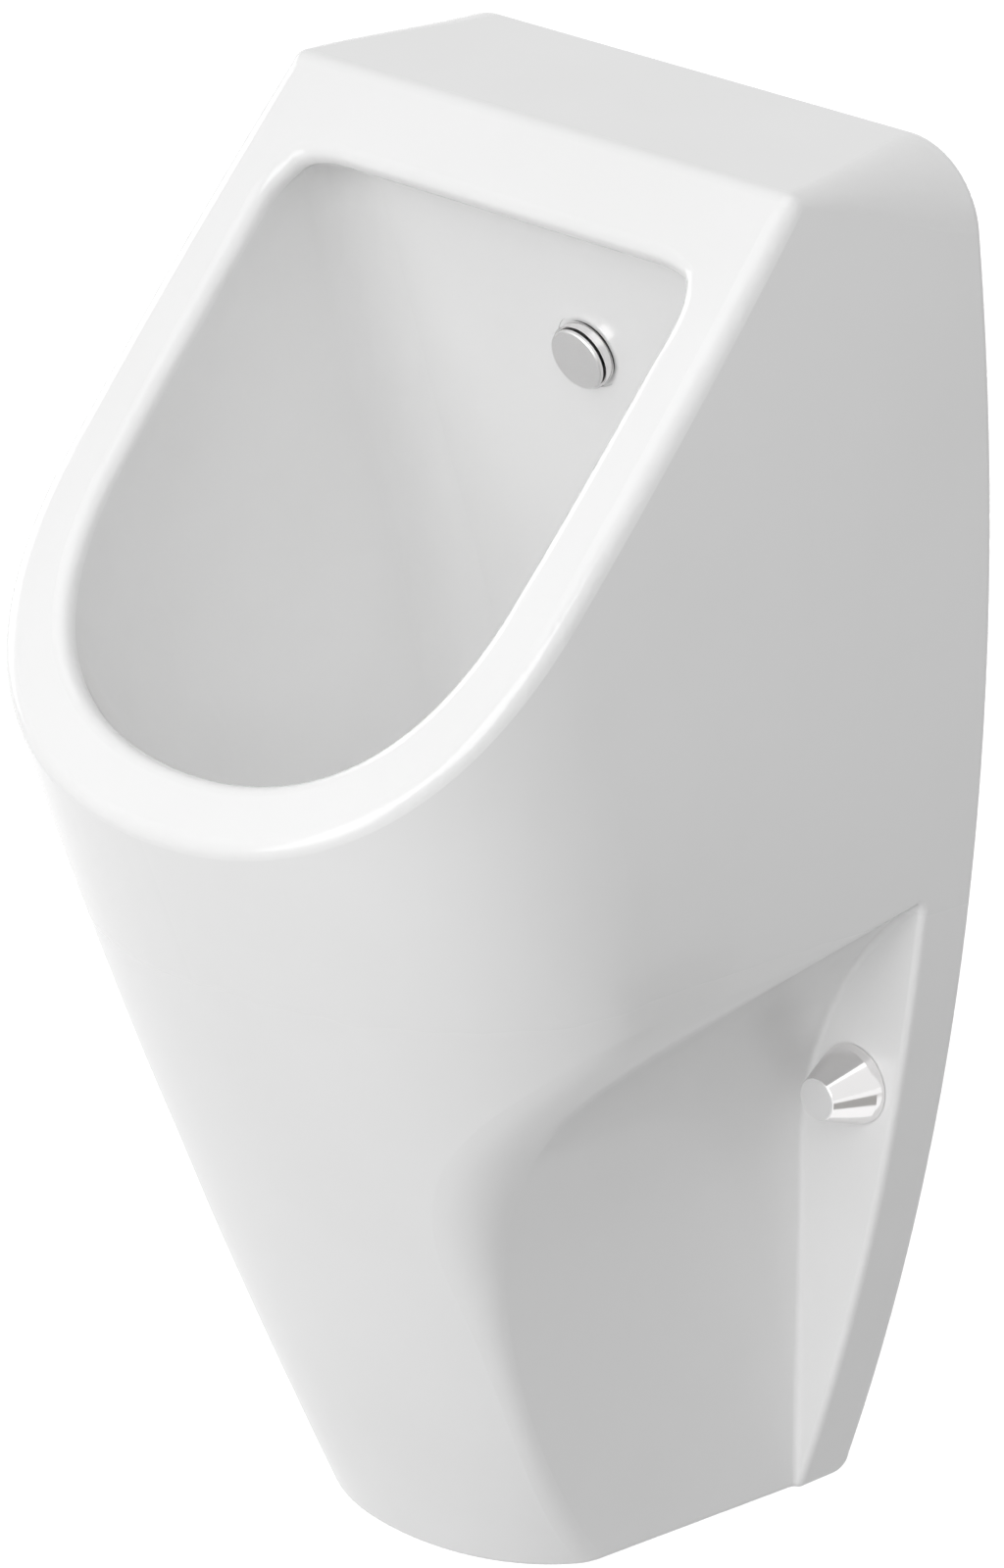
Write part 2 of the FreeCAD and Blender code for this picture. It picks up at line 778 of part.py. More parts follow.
def drain_strainer():
    """The domed strainer that lies loose over the outlet, with a knob to lift it by."""
    centre = Vector(0, -outlet_distance, seat_ring_level)
    dome = strainer_radius - strainer_flat_width
    dome_radius = (dome ** 2 + strainer_crown ** 2) / (strainer_crown * 2)
    bulge = strainer_crown - dome_radius + math.sqrt(dome_radius ** 2 - (dome / 2) ** 2)

    def place(across, level):
        return Vector(across, 0, level)

    edges = [
        line(place(0, strainer_crown), place(0, strainer_crown + strainer_thickness)),
        arc(
            place(0, strainer_crown + strainer_thickness),
            place(dome / 2, bulge + strainer_thickness),
            place(dome, strainer_thickness),
        ),
        line(place(dome, strainer_thickness), place(strainer_radius, strainer_thickness)),
        line(place(strainer_radius, strainer_thickness), place(strainer_radius, 0)),
        line(place(strainer_radius, 0), place(dome, 0)),
        arc(place(dome, 0), place(dome / 2, bulge), place(0, strainer_crown)),
    ]
    solid = Part.Face(Part.Wire(edges)).revolve(Vector(0, 0, 0), z_axis, 360)
    tall = strainer_crown + strainer_thickness
    for share, count in zip(strainer_ring_shares, strainer_ring_counts):
        for step in range(count):
            turn = 2 * math.pi * step / count
            spot = Vector(math.cos(turn), math.sin(turn), 0) * (strainer_radius * share)
            solid = solid.cut(disc(strainer_hole_radius, tall, spot, z_axis))
    knob = [
        (0, strainer_crown),
        (strainer_knob_waist_radius, strainer_crown),
        (strainer_knob_waist_radius, tall + strainer_knob_height - strainer_knob_head),
        (strainer_knob_radius, tall + strainer_knob_height - strainer_knob_head),
        (strainer_knob_radius, tall + strainer_knob_height),
        (0, tall + strainer_knob_height),
    ]
    solid = solid.fuse(turned(knob, Vector(0, 0, 0), z_axis))
    return aim(solid, centre, z_axis)


def outlet_seal():
    """The rubber sleeve between the china's outlet spigot and the trap's socket."""
    inside = outlet_spigot_radius + fit_gap
    outside = outlet_spigot_radius + outlet_seal_wall
    flange = outlet_spigot_length - outlet_seal_flange
    profile = [
        (inside, 0),
        (outside, 0),
        (outside, flange),
        (outlet_seal_flange_radius, flange),
        (outlet_seal_flange_radius, outlet_spigot_length),
        (inside, outlet_spigot_length),
    ]
    return turned(profile, Vector(0, -outlet_distance, spigot_end), z_axis)


def trap_path(lead, tail):
    """The trap's line: down, round under, up, and level into the wall."""
    under = trap_low + y_axis * (trap_bend_radius * 2)
    rise = under + z_axis * trap_rise
    centre = rise + y_axis * trap_outlet_bend_radius
    half_turn = Vector(0, -math.cos(math.pi / 4), math.sin(math.pi / 4)) * trap_outlet_bend_radius
    level = centre + z_axis * trap_outlet_bend_radius
    low = trap_low + Vector(0, trap_bend_radius, -trap_bend_radius)
    return [
        line(trap_start + z_axis * lead, trap_low),
        arc(trap_low, low, under),
        line(under, rise),
        arc(rise, centre + half_turn, level),
        line(level, level + y_axis * tail),
    ]


def trap_body():
    """The trap: socket, bent tube, waste spigot and a boss for the cleaning plug."""
    socket_height = outlet_spigot_length - outlet_seal_flange + trap_socket_floor
    solid = pipe(trap_path(0, waste_length), trap_tube_radius)
    solid = solid.fuse(disc(socket_radius + trap_wall, socket_height, trap_start, z_axis))
    solid = solid.fuse(disc(plug_boss_radius, plug_boss_length + trap_tube_radius, boss_end, z_axis))
    level = trap_path(0, waste_length)[-1].firstVertex(True).Point
    spigot = [
        (0, 0),
        (waste_radius, 0),
        (waste_radius, waste_length - waste_chamfer),
        (waste_radius - waste_chamfer, waste_length),
        (0, waste_length),
    ]
    solid = solid.fuse(turned(spigot, level, y_axis))
    solid = solid.cut(disc(socket_radius, socket_height, trap_start + z_axis * trap_socket_floor, z_axis))
    solid = solid.cut(disc(plug_bore_radius, plug_boss_length + trap_tube_radius, boss_end, z_axis))
    return solid.cut(pipe(trap_path(overrun, waste_length + overrun), trap_tube_radius - trap_wall))


def trap_plug():
    """The cleaning plug under the trap, with a bar to turn it by."""
    shank = boss_end - z_axis * plug_seal_thickness
    head = shank - z_axis * plug_head_length
    solid = disc(plug_head_radius, plug_head_length, head, z_axis)
    length = plug_shank_length + plug_seal_thickness
    solid = solid.fuse(disc(plug_bore_radius - fit_gap, length, shank, z_axis))
    grip = disc(plug_head_radius, plug_grip_length, head - z_axis * plug_grip_length, z_axis)
    corner = head - Vector(plug_head_radius, plug_grip_width / 2, plug_grip_length)
    bar = Part.makeBox(plug_head_radius * 2, plug_grip_width, plug_grip_length, corner)
    return solid.fuse(grip.common(bar))


def trap_plug_seal():
    """The flat seal of the cleaning plug."""
    base = boss_end - z_axis * plug_seal_thickness
    return ring(plug_boss_radius, plug_bore_radius, plug_seal_thickness, base, z_axis)


# Lower fixings and their cover caps

def cap_outer_radius(distance):
    """Radius of a cover cap, at a distance from the flange."""
    if distance < cap_rim_length:
        share = distance / cap_rim_length
        return cap_radius + (cap_shoulder_radius - cap_radius) * share
    share = (distance - cap_rim_length) / (cap_length - cap_rim_length)
    return cap_shoulder_radius + (cap_front_radius - cap_shoulder_radius) * share


def cover_cap(side):
    """A hollow chromed cone that hides a stud and its nut."""
    inside = cap_length - cap_wall
    profile = [
        (cap_outer_radius(cap_gap), cap_gap),
        (cap_shoulder_radius, cap_rim_length),
        (cap_front_radius, cap_length - cap_front_bevel),
        (cap_front_radius - cap_front_bevel, cap_length),
        (0, cap_length),
        (0, inside),
        (cap_outer_radius(inside) - cap_wall, inside),
        (cap_shoulder_radius - cap_wall, cap_rim_length),
        (cap_outer_radius(cap_gap) - cap_wall, cap_gap),
    ]
    return turned(profile, fixing(side), -y_axis)


def cap_carrier(side):
    """The plastic disc under the nut, with the collar that its cap is pushed onto."""
    end = carrier_thickness + carrier_collar_length
    disc_radius = cap_outer_radius(carrier_thickness) - cap_wall - cap_gap
    collar_radius = cap_outer_radius(end) - cap_wall - cap_gap
    profile = [
        (stud_radius + fit_gap, 0),
        (disc_radius, 0),
        (disc_radius, carrier_thickness),
        (collar_radius, carrier_thickness),
        (collar_radius, end),
        (collar_radius - carrier_collar_wall, end),
        (collar_radius - carrier_collar_wall, carrier_thickness),
        (stud_radius + fit_gap, carrier_thickness),
    ]
    return turned(profile, fixing(side), -y_axis)


def wall_stud(side):
    """A stud that is screwed into the wall and carries the china's flange."""
    length = stud_into_wall + flange_thickness + stud_out
    step = stud_into_wall - stud_wall_gap
    profile = [
        (0, 0),
        (stud_tip_radius, 0),
        (stud_wall_radius, stud_point),
        (stud_wall_radius, step),
        (stud_radius, step),
        (stud_radius, length),
        (0, length),
    ]
    return turned(profile, fixing(side) + y_axis * (flange_thickness + stud_into_wall), -y_axis)


def stud_sleeve(side):
    """The plastic sleeve that keeps the stud off the china."""
    return ring(fixing_hole_radius - fit_gap, stud_radius + fit_gap, flange_thickness, fixing(side), y_axis)


def stud_washer(side):
    """The washer between the carrier and the nut."""
    base = fixing(side) - y_axis * carrier_thickness
    return ring(stud_washer_radius, stud_radius + fit_gap, stud_washer_thickness, base, -y_axis)


def stud_nut(side):
    """The nut that clamps the flange to the wall."""
    base = fixing(side) - y_axis * (carrier_thickness + stud_washer_thickness)
    bar = hexagon(stud_nut_across_flats, stud_nut_thickness, base, -y_axis)
    return bar.cut(disc(stud_radius + fit_gap, stud_nut_thickness, base, -y_axis))


# Hanger brackets

bracket_top = body_height - pocket_top_wall - pad_thickness


def hanger_bracket(side):
    """A steel angle that is screwed to the wall and hooks under the china's back."""
    left = side * bracket_half_spacing - bracket_width / 2

    def place(distance, level):
        return Vector(left, -distance, level)

    outer = place(0, bracket_top)
    inner = place(bracket_thickness, bracket_top - bracket_thickness)
    points = [
        outer,
        place(bracket_leg, bracket_top),
        place(bracket_leg, bracket_top - bracket_thickness),
        inner,
        place(bracket_thickness, bracket_top - bracket_drop),
        place(0, bracket_top - bracket_drop),
    ]
    solid = polygon_face(points).extrude(x_axis * bracket_width)
    across = x_axis * bracket_width
    outer_radius = bracket_bend_radius + bracket_thickness
    solid = solid.makeFillet(bracket_bend_radius, edges_on(solid, line(inner, inner + across)))
    solid = solid.makeFillet(outer_radius, edges_on(solid, line(outer, outer + across)))
    for drop in bracket_hole_drops:
        solid = solid.cut(disc(bracket_hole_radius, bracket_thickness, screw_place(side, drop), y_axis))
    return solid


def screw_place(side, drop):
    """Where a bracket's screw passes the front of its plate."""
    return Vector(side * bracket_half_spacing, -bracket_thickness, bracket_top - drop)


def bracket_screw(side, drop):
    """A hexagon-headed screw with a fixed washer face."""
    spot = screw_place(side, drop)
    length = bracket_thickness + screw_into_wall
    profile = [
        (0, -screw_collar_thickness),
        (screw_collar_radius, -screw_collar_thickness),
        (screw_collar_radius, 0),
        (screw_radius, 0),
        (screw_radius, length - screw_point),
        (screw_tip_radius, length),
        (0, length),
    ]
    shank = turned(profile, spot, y_axis)
    base = spot - y_axis * screw_collar_thickness
    return shank.fuse(hexagon(screw_head_across_flats, screw_head_height, base, -y_axis))


def hanger_pad(side):
    """The rubber pad between a bracket and the china."""
    corner = Vector(side * bracket_half_spacing - bracket_width / 2, -bracket_leg, bracket_top)
    return Part.makeBox(bracket_width, bracket_leg, pad_thickness, corner)


def pair(maker):
    """Two like solids, one on each side, in one node."""
    return Part.makeCompound([maker(side) for side in sides])


def save(name, shape):
    """Write a node, with the level of the fixing studs as the origin."""
    shape.translated(Vector(0, 0, -fixing_height)).exportStep("parts/" + name + ".step")


os.makedirs("parts", exist_ok=True)
single_pieces = (
    ceramic_body, spray_disc, spray_body, spray_seal, inlet_washer, inlet_locknut, inlet_union_seal,
    inlet_union_nut, inlet_pipe, drain_strainer, outlet_seal, trap_body, trap_plug, trap_plug_seal,
)
for piece in single_pieces:
    save(piece.__name__, piece())
for side, hand in zip(sides, ("left", "right")):
    save("cover_cap_" + hand, cover_cap(side))
    save("hanger_bracket_" + hand, hanger_bracket(side))
for piece in (wall_stud, stud_sleeve, cap_carrier, stud_washer, stud_nut, hanger_pad):
    save(piece.__name__ + "s", pair(piece))
screws = [bracket_screw(side, drop) for side in sides for drop in bracket_hole_drops]
save("bracket_screws", Part.makeCompound(screws))
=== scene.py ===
"""Finishes, stage and camera for a wall-hung urinal, built round its packed frame."""

import math

import bpy
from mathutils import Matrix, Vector

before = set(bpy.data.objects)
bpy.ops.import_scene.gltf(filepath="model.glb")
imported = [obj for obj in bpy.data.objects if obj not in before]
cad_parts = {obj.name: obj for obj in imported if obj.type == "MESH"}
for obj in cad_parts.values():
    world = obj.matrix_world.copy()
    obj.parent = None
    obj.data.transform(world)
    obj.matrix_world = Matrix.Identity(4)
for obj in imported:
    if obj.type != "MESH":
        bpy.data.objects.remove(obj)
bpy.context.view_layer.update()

bl_info = {
    "name": "Wall-hung urinal",
    "version": (1, 0, 0),
    "blender": (4, 5, 0),
    "location": "View3D > Sidebar > Urinal",
    "description": "Dresses the packed solids of a wall-hung urinal and sets its stage",
    "category": "Object",
}

# Levels of noise between which one tint or gloss gives way to another
PATCHES = (0.35, 0.7)
GRAIN = (0.3, 0.7)
WIPES = (0.3, 0.8)
SPECKS = (0.62, 0.72)

# A Mix node has several sockets of one name, so those for colours go by number
MIX_FACTOR, MIX_FIRST, MIX_SECOND, MIX_RESULT = 0, 6, 7, 2

WHITE = (1, 1, 1, 1)

# Each lamp's name, its place and the setting that holds its power
LAMPS = (
    ("front_lamp", (0, -2.6, 0.45), "front_power"),
    ("right_lamp", (1.25, -2.1, 1.35), "right_power"),
    ("left_lamp", (-2.6, -0.4, 0.8), "left_power"),
)


def colour(name, description, default):
    """A colour that a user may change."""
    return bpy.props.FloatVectorProperty(
        name=name, description=description, default=default, size=3, subtype="COLOR", min=0, max=1)


def length(name, description, default):
    """A length in metres that a user may change."""
    return bpy.props.FloatProperty(
        name=name, description=description, default=default, unit="LENGTH")


def place(name, description, default):
    """A place in the part's frame that a user may change."""
    return bpy.props.FloatVectorProperty(
        name=name, description=description, default=default, size=3,
        subtype="TRANSLATION", unit="LENGTH")


def share(name, description, default):
    """A share from none to all that a user may change."""
    return bpy.props.FloatProperty(
        name=name, description=description, default=default, min=0, max=1, subtype="FACTOR")


def power(name, description, default):
    """The power of a lamp."""
    return bpy.props.FloatProperty(
        name=name, description=description, default=default, min=0, unit="POWER")


class ChinaSettings(bpy.types.PropertyGroup):
    """Finish of the china body."""

    glaze: colour("Glaze", "Colour of the glazed china", (0.92, 0.92, 0.92))
    glaze_thin: colour("Thin glaze", "Colour where the glaze is thinner", (0.90, 0.90, 0.898))
    bisque: colour("Bisque", "Colour of the bare china on the back", (0.74, 0.71, 0.66))
    roughness: share("Roughness", "Roughness of the glaze where it is thin", 0.30)
    ripple: length("Ripple", "Height of the glaze's soft ripple", 0.00006)


class MetalSettings(bpy.types.PropertyGroup):
    """Finishes of the metal pieces."""

    chrome: colour("Chrome", "Colour of polished chrome", (0.84, 0.83, 0.83))
    satin: colour("Satin chrome", "Colour of the satin faces", (0.86, 0.86, 0.86))
    stainless: colour("Stainless", "Colour of the strainer", (0.62, 0.62, 0.61))
    brass: colour("Brass", "Colour of the bare brass fittings", (0.70, 0.53, 0.25))
    zinc: colour("Zinc", "Colour of plated steel", (0.58, 0.60, 0.62))


class PlasticSettings(bpy.types.PropertyGroup):
    """Finishes of the moulded pieces."""

    trap: colour("Trap", "Colour of the moulded trap", (0.80, 0.80, 0.78))
    nylon: colour("Nylon", "Colour of the sleeves and cap carriers", (0.78, 0.76, 0.70))
    rubber: colour("Rubber", "Colour of the seals and pads", (0.025, 0.025, 0.027))


class StageSettings(bpy.types.PropertyGroup):
    """Floor, card, light and camera."""

    camera: place("Camera", "Where the camera stands", (1.9126, -2.0213, 1.2273))
    target: place("Target", "What the camera and the lamps face", (0.012, -0.120, 0.1236))
    lens: bpy.props.FloatProperty(
        name="Lens", description="Focal length of the lens", default=116.67, unit="CAMERA")
    floor_level: length("Floor", "Height of the floor in the part's frame", -0.4966)
    card_low: place(
        "Card, low corner", "Lowest corner of the card that a cap mirrors", (0.336, -0.07, -0.20))
    card_high: place(
        "Card, high corner", "Highest corner of the card that a cap mirrors", (0.336, 0.05, -0.055))
    ambient: share("Ambient", "Light of the white room", 0.40)
    lamp_size: length("Lamp size", "Side of each square lamp", 1.6)
    front_power: power("Front lamp", "Power of the lamp in front", 17.0)
    right_power: power("Right lamp", "Power of the lamp at the front right", 18.0)
    left_power: power("Left lamp", "Power of the lamp on the left", 12.0)
    overhead: bpy.props.FloatProperty(
        name="Overhead light", description="Light that falls evenly from above",
        default=0.58, min=0)


class Value:
    """An output socket, on which sums can be written as Python."""

    def __init__(self, finish, socket):
        self.finish = finish
        self.socket = socket

    def maths(self, operation, first, second):
        """One Math node."""
        return self.finish.add("ShaderNodeMath", {"operation": operation}, {0: first, 1: second})

    def __add__(self, other):
        return self.maths("ADD", self, other)

    def __radd__(self, other):
        return self.maths("ADD", other, self)

    def __sub__(self, other):
        return self.maths("SUBTRACT", self, other)

    def __rsub__(self, other):
        return self.maths("SUBTRACT", other, self)

    def __mul__(self, other):
        return self.maths("MULTIPLY", self, other)

    def __rmul__(self, other):
        return self.maths("MULTIPLY", other, self)

    def at_least(self, other):
        """The larger of two values."""
        return self.maths("MAXIMUM", self, other)


class Finish:
    """A material that is put together from nodes, in place of the packed model's plain one."""

    def __init__(self, name, tree=None):
        if tree is None:
            plain = bpy.data.materials.get(name)
            if plain:
                bpy.data.materials.remove(plain)
            self.material = bpy.data.materials.new(name)
            self.material.use_nodes = True
            tree = self.material.node_tree
        self.tree = tree
        self.tree.nodes.clear()

    def add(self, kind, settings, inputs, output=0):
        """Add a node, set it, feed it and give one of its outputs."""
        node = self.tree.nodes.new(kind)
        for key, value in settings.items():
            setattr(node, key, value)
        for key, value in inputs.items():
            if isinstance(value, Value):
                self.tree.links.new(value.socket, node.inputs[key])
            else:
                node.inputs[key].default_value = value
        return Value(self, node.outputs[output]) if len(node.outputs) else None

    def where(self):
        """The place on the piece, in metres in the part's frame."""
        return self.add("ShaderNodeTexCoord", {}, {}, "Object")

    def along(self, axis):
        """One coordinate of the place on the piece."""
        return self.add("ShaderNodeSeparateXYZ", {}, {0: self.where()}, axis)

    def counted_from(self, origin):
        """The place on the piece, counted from another origin."""
        inputs = {0: self.where(), 1: origin}
        return self.add("ShaderNodeVectorMath", {"operation": "SUBTRACT"}, inputs)

    def stretched(self, stretch):
        """The place on the piece, with each coordinate stretched."""
        inputs = {0: self.where(), 1: stretch}
        return self.add("ShaderNodeVectorMath", {"operation": "MULTIPLY"}, inputs)

    def noise(self, scale, detail=2.0, vector=None):
        """A soft random value from 0 to 1, with scale in turns per metre."""
        inputs = {"Vector": vector or self.where(), "Scale": scale, "Detail": detail}
        return self.add("ShaderNodeTexNoise", {}, inputs, "Fac")

    def ramp(self, value, low, high, start=0.0, end=1.0):
        """A value carried smoothly from (low, high) to (start, end)."""
        inputs = {"Value": value, "From Min": low, "From Max": high, "To Min": start, "To Max": end}
        return self.add("ShaderNodeMapRange", {"interpolation_type": "SMOOTHSTEP"}, inputs)

    def blend(self, factor, first, second):
        """A mix of two colours."""
        inputs = {MIX_FACTOR: factor, MIX_FIRST: opaque(first), MIX_SECOND: opaque(second)}
        return self.add("ShaderNodeMix", {"data_type": "RGBA"}, inputs, MIX_RESULT)

    def bump(self, height, distance):
        """A normal bent by a height."""
        return self.add("ShaderNodeBump", {}, {"Height": height, "Distance": distance})

    def surface(self, inputs):
        """Close the material with one shader."""
        shader = self.add("ShaderNodeBsdfPrincipled", {}, inputs)
        self.add("ShaderNodeOutputMaterial", {}, {"Surface": shader})
        return self.material


def opaque(tint):
    """A colour with its alpha, or a link as it is."""
    return tint if isinstance(tint, Value) else (*tint, 1)


def darker(tint, level):
    """A colour brought down to a level of its brightness."""
    return tuple(channel * level for channel in tint)


def dress(finish, *nodes):
    """Give CAD nodes a finish."""
    for name in nodes:
        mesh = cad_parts[name].data
        mesh.materials.clear()
        mesh.materials.append(finish)


def glazed_china(settings):
    """White glaze, thicker and glossier towards the top, and bare china where it meets the wall."""
    cloud_dulls, thick_shines, bare_dulls = 0.03, 0.18, 0.5
    thin_coat, thick_adds = 0.25, 0.2
    paint = Finish("glazed_china")
    cloud = paint.noise(scale=9.0, detail=3.0)
    speck = paint.noise(scale=900.0)
    ripple = paint.noise(scale=28.0, detail=1.0)
    bare = paint.ramp(paint.along("Y"), low=-0.0016, high=-0.0004)
    thick = paint.ramp(paint.along("Z"), low=0.02, high=0.22)
    glaze = paint.blend(paint.ramp(cloud, *PATCHES), settings.glaze, settings.glaze_thin)
    stain = paint.blend(paint.ramp(speck, *SPECKS), settings.bisque, settings.glaze_thin)
    roughness = settings.roughness + cloud_dulls * cloud - thick_shines * thick + bare_dulls * bare
    return paint.surface({
        "Base Color": paint.blend(bare, glaze, stain),
        "Roughness": roughness,
        "Coat Weight": (thin_coat + thick_adds * thick) * (1.0 - bare),
        "Coat Roughness": 0.08,
        "Normal": paint.bump(ripple, settings.ripple),
    })


def polished_chrome(settings):
    """Bright plating with faint wipe marks."""
    paint = Finish("polished_chrome")
    wipe = paint.noise(scale=60.0, detail=3.0, vector=paint.stretched((1, 1, 4)))
    return paint.surface({
        "Base Color": opaque(settings.chrome),
        "Metallic": 1.0,
        "Roughness": paint.ramp(wipe, *WIPES, start=0.03, end=0.09),
    })


def satin_chrome(settings):
    """Dull plating with a fine grain."""
    paint = Finish("satin_chrome")
    grain = paint.noise(scale=3200.0)
    return paint.surface({
        "Base Color": paint.blend(paint.ramp(grain, *GRAIN), settings.satin, settings.chrome),
        "Metallic": 1.0,
        "Roughness": paint.ramp(grain, *GRAIN, start=0.36, end=0.44),
        "Normal": paint.bump(grain, distance=0.000004),
    })


def cap_chrome(settings):
    """Softly polished plating on a cap's cone, and satin on its front disc."""
    cone_metallic, disc_lowers, disc_dulls = 0.9, 0.6, 0.26
    paint = Finish("cap_chrome")
    disc = paint.ramp(paint.along("Y"), low=-0.0479, high=-0.0475, start=1.0, end=0.0)
    wipe = paint.noise(scale=90.0, detail=3.0, vector=paint.stretched((1, 0.3, 1)))
    return paint.surface({
        "Base Color": paint.blend(disc, settings.chrome, settings.satin),
        "Metallic": cone_metallic - disc_lowers * disc,
        "Roughness": paint.ramp(wipe, *WIPES, start=0.12, end=0.18) + disc_dulls * disc,
    })


def stainless(settings):
    """Pressed steel with turned rings."""
    drain_axis = (0, -0.12, 0)
    roughness, ring_dulls, cloud_dulls = 0.2, 0.08, 0.12
    paint = Finish("stainless")
    turning = {"Vector": paint.counted_from(drain_axis), "Scale": 260.0, "Distortion": 1.5}
    rings = paint.add(
        "ShaderNodeTexWave", {"wave_type": "RINGS", "rings_direction": "Z"}, turning, "Fac")
    cloud = paint.noise(scale=60.0, detail=3.0)
    return paint.surface({
        "Base Color": opaque(settings.stainless),
        "Metallic": 1.0,
        "Roughness": roughness + ring_dulls * rings + cloud_dulls * cloud,
        "Normal": paint.bump(rings, distance=0.00001),
    })


def brass(settings):
    """Bare brass, darker in patches."""
    paint = Finish("brass_fittings")
    cloud = paint.noise(scale=80.0, detail=4.0)
    dull = darker(settings.brass, level=0.72)
    return paint.surface({
        "Base Color": paint.blend(paint.ramp(cloud, *PATCHES), settings.brass, dull),
        "Metallic": 1.0,
        "Roughness": paint.ramp(cloud, *GRAIN, start=0.2, end=0.38),
    })


def zinc_steel(settings):
    """Zinc plating with its crystal patches."""
    roughness, patch_dulls = 0.28, 0.16
    paint = Finish("zinc_steel")
    crystals = {"Vector": paint.where(), "Scale": 220.0}
    spangle = paint.add("ShaderNodeTexVoronoi", {}, crystals, "Color")
    patch = paint.add("ShaderNodeSeparateXYZ", {}, {0: spangle}, "X")
    return paint.surface({
        "Base Color": paint.blend(patch, settings.zinc, darker(settings.zinc, level=0.85)),
        "Metallic": 1.0,
        "Roughness": roughness + patch_dulls * patch,
    })


def moulded(name, tint, grain_scale, roughness):
    """Moulded plastic or rubber with a fine grain."""
    cloud_dulls = 0.1
    paint = Finish(name)
    grain = paint.noise(grain_scale)
    cloud = paint.noise(scale=40.0)
    deep = darker(tint, level=0.92)
    return paint.surface({
        "Base Color": paint.blend(paint.ramp(cloud, *PATCHES), tint, deep),
        "Roughness": roughness + cloud_dulls * cloud,
        "Normal": paint.bump(grain, distance=0.00002),
    })


class DressChina(bpy.types.Operator):
    """Glaze the china body"""

    bl_idname = "urinal.dress_china"
    bl_label = "China body"

    def execute(self, context):
        dress(glazed_china(context.scene.urinal_china), "ceramic_body")
        return {"FINISHED"}


class DressSprayHead(bpy.types.Operator):
    """Finish the spray head and the water connection behind it"""

    bl_idname = "urinal.dress_spray_head"
    bl_label = "Spray head and inlet"

    def execute(self, context):
        metal = context.scene.urinal_metal
        plastic = context.scene.urinal_plastic
        dress(satin_chrome(metal), "spray_disc")
        dress(polished_chrome(metal), "spray_body")
        dress(brass(metal), "inlet_locknut", "inlet_union_nut", "inlet_pipe")
        dress(zinc_steel(metal), "inlet_washer")
        dress(moulded("black_rubber", plastic.rubber, grain_scale=1500.0, roughness=0.55),
              "spray_seal", "inlet_union_seal")
        return {"FINISHED"}


class DressOutlet(bpy.types.Operator):
    """Finish the strainer and the trap"""

    bl_idname = "urinal.dress_outlet"
    bl_label = "Strainer and trap"

    def execute(self, context):
        plastic = context.scene.urinal_plastic
        dress(stainless(context.scene.urinal_metal), "drain_strainer")
        dress(moulded("trap_plastic", plastic.trap, grain_scale=1200.0, roughness=0.32),
              "trap_body", "trap_plug")
        dress(bpy.data.materials["black_rubber"], "outlet_seal", "trap_plug_seal")
        return {"FINISHED"}


class DressFixings(bpy.types.Operator):
    """Finish the cover caps, studs and hanger brackets"""

    bl_idname = "urinal.dress_fixings"
    bl_label = "Caps and fixings"

    def execute(self, context):
        plastic = context.scene.urinal_plastic
        dress(cap_chrome(context.scene.urinal_metal), "cover_cap_left", "cover_cap_right")
        dress(bpy.data.materials["zinc_steel"], "wall_studs", "stud_washers", "stud_nuts",
              "hanger_bracket_left", "hanger_bracket_right", "bracket_screws")
        dress(moulded("nylon", plastic.nylon, grain_scale=900.0, roughness=0.42),
              "stud_sleeves", "cap_carriers")
        dress(bpy.data.materials["black_rubber"], "hanger_pads")
        return {"FINISHED"}


def looked_at(paint):
    """1 for rays of the camera, of mirrors and of glass, and 0 for the rest."""
    seen = paint.add("ShaderNodeLightPath", {}, {}, "Is Camera Ray")
    for ray in ("Is Glossy Ray", "Is Transmission Ray"):
        seen = seen.at_least(paint.add("ShaderNodeLightPath", {}, {}, ray))
    return seen


def white_room(settings):
    """A white room: plain white where it is looked at, a softer level where it lights."""
    world = bpy.data.worlds.new("white_room")
    world.use_nodes = True
    paint = Finish("white_room", world.node_tree)
    level = settings.ambient + (1 - settings.ambient) * looked_at(paint)
    shader = paint.add("ShaderNodeBackground", {}, {"Color": WHITE, "Strength": level})
    paint.add("ShaderNodeOutputWorld", {}, {"Surface": shader})
    bpy.context.scene.world = world


def floor_finish():
    """A pale floor that looks white and keeps the shadow."""
    glow = 0.84
    paint = Finish("pale_floor")
    grain = paint.noise(scale=40.0, detail=3.0)
    return paint.surface({
        "Base Color": paint.blend(grain, (0.40, 0.40, 0.40), (0.42, 0.42, 0.42)),
        "Roughness": 0.9,
        "Emission Color": WHITE,
        "Emission Strength": looked_at(paint) * glow,
    })


def card_finish():
    """Dull pale card."""
    paint = Finish("pale_card")
    grain = paint.noise(scale=60.0, detail=3.0)
    return paint.surface({
        "Base Color": paint.blend(grain, (0.90, 0.88, 0.85), (0.95, 0.93, 0.90)),
        "Roughness": 0.9,
    })


def add_sheet(name, corners, finish):
    """A flat sheet between four corners."""
    mesh = bpy.data.meshes.new(name)
    mesh.from_pydata(corners, [], [(0, 1, 2, 3)])
    mesh.materials.append(finish)
    sheet = bpy.data.objects.new(name, mesh)
    bpy.context.collection.objects.link(sheet)
    return sheet


def add_floor(level):
    """A wide floor whose edge is far out of sight."""
    reach = 30.0
    corners = [(-reach, -reach, level), (reach, -reach, level),
               (reach, reach, level), (-reach, reach, level)]
    floor = add_sheet("floor", corners, floor_finish())


def add_card(low, high):
    """An upright card that only glossy surfaces show."""
    corners = [tuple(low), (low[0], high[1], low[2]), tuple(high), (high[0], low[1], high[2])]
    card = add_sheet("card", corners, card_finish())
    card.visible_camera = False
    card.visible_diffuse = False
    card.visible_shadow = False
    card.visible_transmission = False


